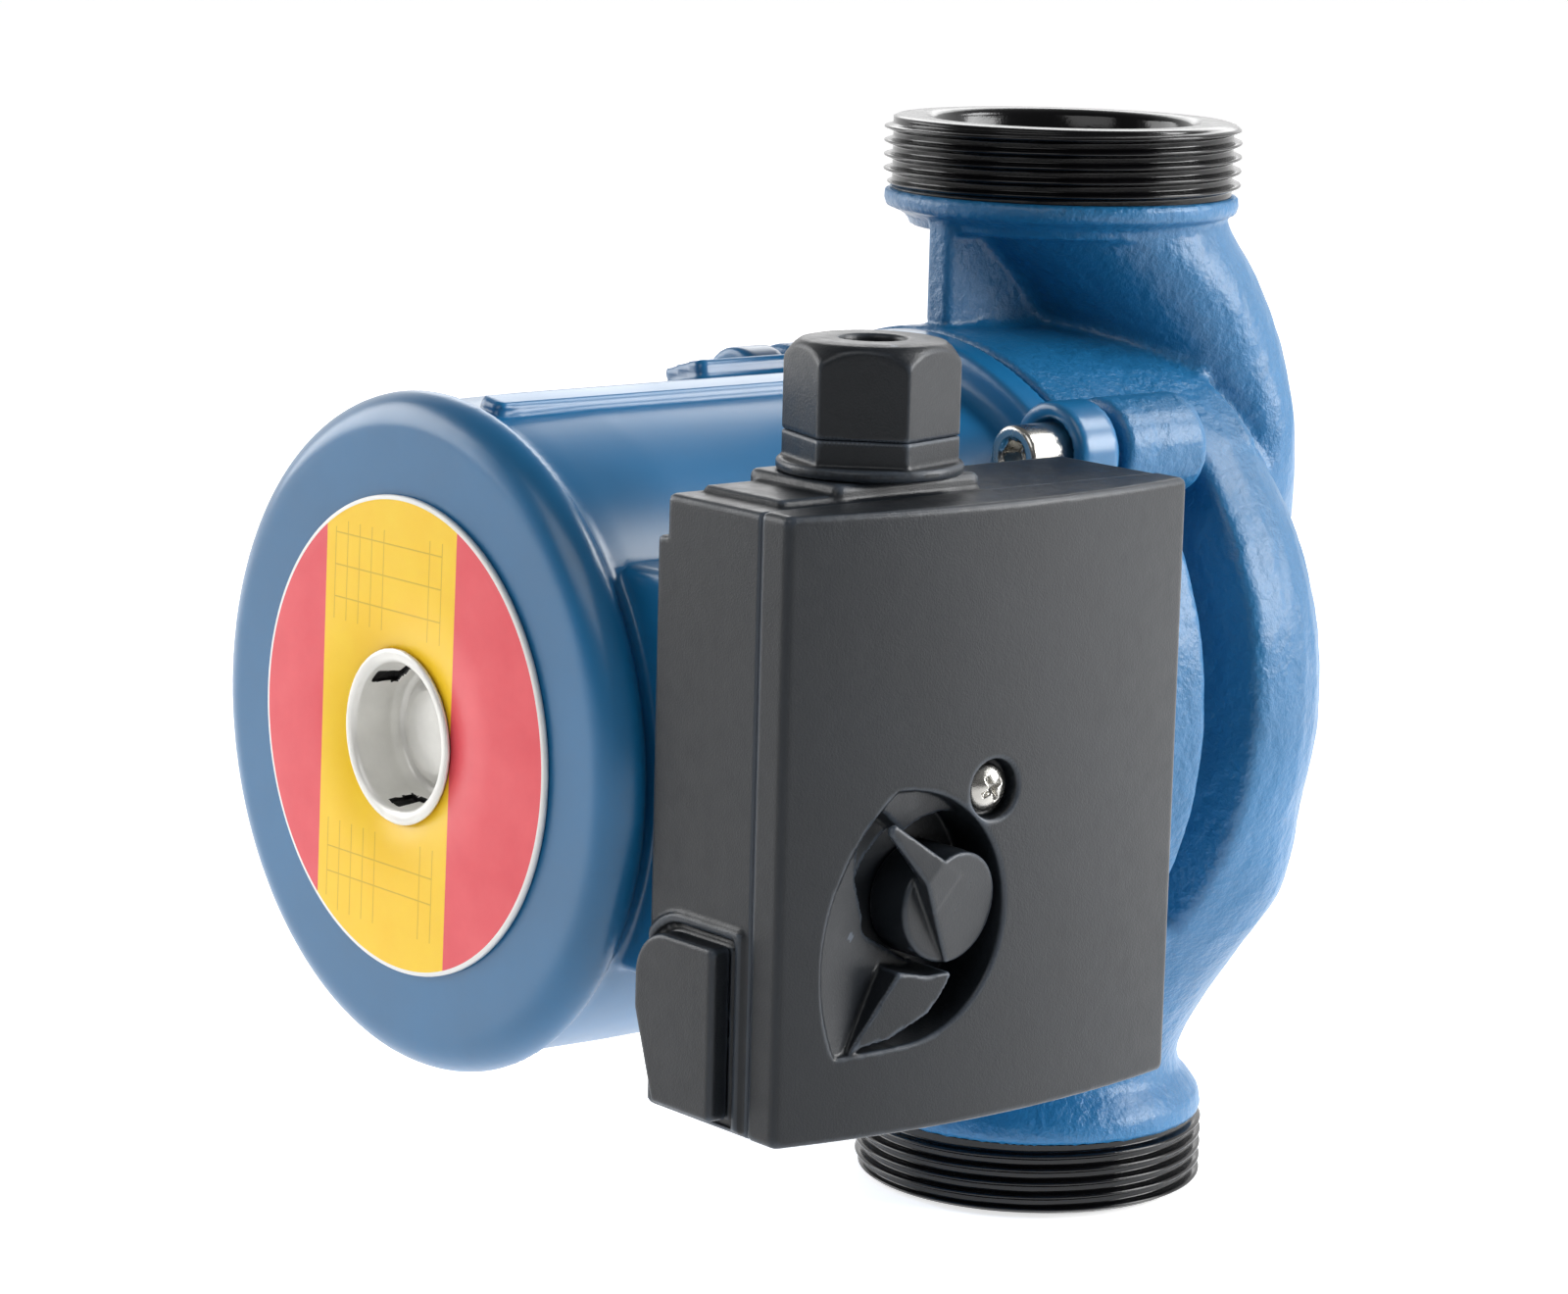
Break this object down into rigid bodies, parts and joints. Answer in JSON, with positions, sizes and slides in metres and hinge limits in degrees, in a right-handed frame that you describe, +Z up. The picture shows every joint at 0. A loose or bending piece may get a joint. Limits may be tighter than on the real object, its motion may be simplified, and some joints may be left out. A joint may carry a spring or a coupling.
{
  "type": "circulator pump",
  "caption": "In-line wet-rotor heating circulator: cast pump housing with threaded ports, round motor, side terminal box with speed knob and cable gland.",
  "frame": {"origin": "centre of the lower port's sealing face, on the port centreline", "axes": "+Z up the two ports, from the lower to the upper sealing face; the motor points along -Y and its terminal box is on +X"},
  "size_m": [0.1466, 0.1735, 0.18],
  "materials": {
    "cast_blue": "blue enamel on rough cast iron",
    "motor_blue": "smooth satin blue enamel on die-cast aluminium",
    "black_plastic": "fine-grained dark grey moulded plastic",
    "knob_black": "satin black moulded plastic",
    "steel": "zinc-plated or bare steel",
    "chrome": "turned nickel-plated brass",
    "brass": "bare brass",
    "plate": "printed foil plate with plain stripes",
    "rubber": "black rubber",
    "carbon": "carbon bearing material",
    "ceramic": "polished ceramic",
    "lamination": "stacked electrical steel",
    "copper": "enamelled copper wire",
    "composite": "glass-filled plastic",
    "white_plastic": "off-white moulded plastic",
    "lead_brown": "brown wire insulation",
    "lead_blue": "blue wire insulation"
  },
  "bodies": {
    "pump_body": {"pump_housing": "cast_blue", "wear_ring": "steel", "thrust_bearing": "carbon", "rear_bearing": "ceramic", "front_bearing": "ceramic", "bearing_plate": "steel", "rotor_can": "steel", "housing_gasket": "rubber", "motor_housing": "motor_blue", "stator_core": "lamination", "winding_front": "copper", "winding_rear": "copper", "rating_plate": "plate", "flange_screw_1": "steel", "flange_screw_2": "steel", "flange_screw_3": "steel", "flange_screw_4": "steel", "terminal_box_base": "black_plastic", "entry_blank": "black_plastic", "base_screw_1": "steel", "base_screw_2": "steel", "gland_body": "black_plastic", "gland_lock_nut": "black_plastic", "gland_seal": "rubber", "terminal_box_cover": "black_plastic", "cover_gasket": "rubber", "cover_screw": "steel", "cover_screw_boss": "brass", "speed_switch": "white_plastic", "capacitor": "white_plastic", "capacitor_clip": "steel", "terminal_block": "white_plastic", "terminal_screw_1": "brass", "terminal_screw_2": "brass", "earth_screw": "brass", "motor_lead_1": "lead_brown", "motor_lead_2": "lead_blue"},
    "rotor": {"impeller": "composite", "impeller_nut": "brass", "rotor_shaft": "ceramic", "rotor_core": "lamination", "thrust_collar": "steel"},
    "vent_seal": {"vent_o_ring": "rubber"},
    "vent_screw": {"vent_plug": "chrome"},
    "gland_clamp": {"gland_clamp_ring": "white_plastic"},
    "gland_cap": {"gland_nut": "black_plastic"},
    "speed_selector": {"speed_knob": "knob_black"}
  },
  "joints": [
    {"name": "rotor_spin", "type": "hinge", "parent": "pump_body", "child": "rotor", "pos_m": [0, 0, 0.09], "axis": [0, 1, 0], "continuous": true},
    {"name": "speed_select", "type": "hinge", "parent": "pump_body", "child": "speed_selector", "pos_m": [0.08, -0.0974, 0.0768], "axis": [1, 0, 0], "range_deg": [0, 80]},
    {"name": "vent_travel", "type": "slide", "parent": "pump_body", "child": "vent_seal", "axis": [0, -1, 0], "range_m": [0, 0.003]},
    {"name": "vent_turn", "type": "hinge", "parent": "vent_seal", "child": "vent_screw", "pos_m": [0, -0.12, 0.09], "axis": [0, -1, 0], "range_deg": [0, 720]},
    {"name": "gland_travel", "type": "slide", "parent": "pump_body", "child": "gland_clamp", "axis": [0, 0, 1], "range_m": [0, 0.003]},
    {"name": "gland_turn", "type": "hinge", "parent": "gland_clamp", "child": "gland_cap", "pos_m": [0.068, -0.0983, 0.15], "axis": [0, 0, 1], "range_deg": [0, 720]}
  ],
  "couplings": [
    {"joint": "vent_turn", "follows": "vent_travel", "rad_per_m": 4188.7},
    {"joint": "gland_turn", "follows": "gland_travel", "rad_per_m": 4188.7}
  ]
}
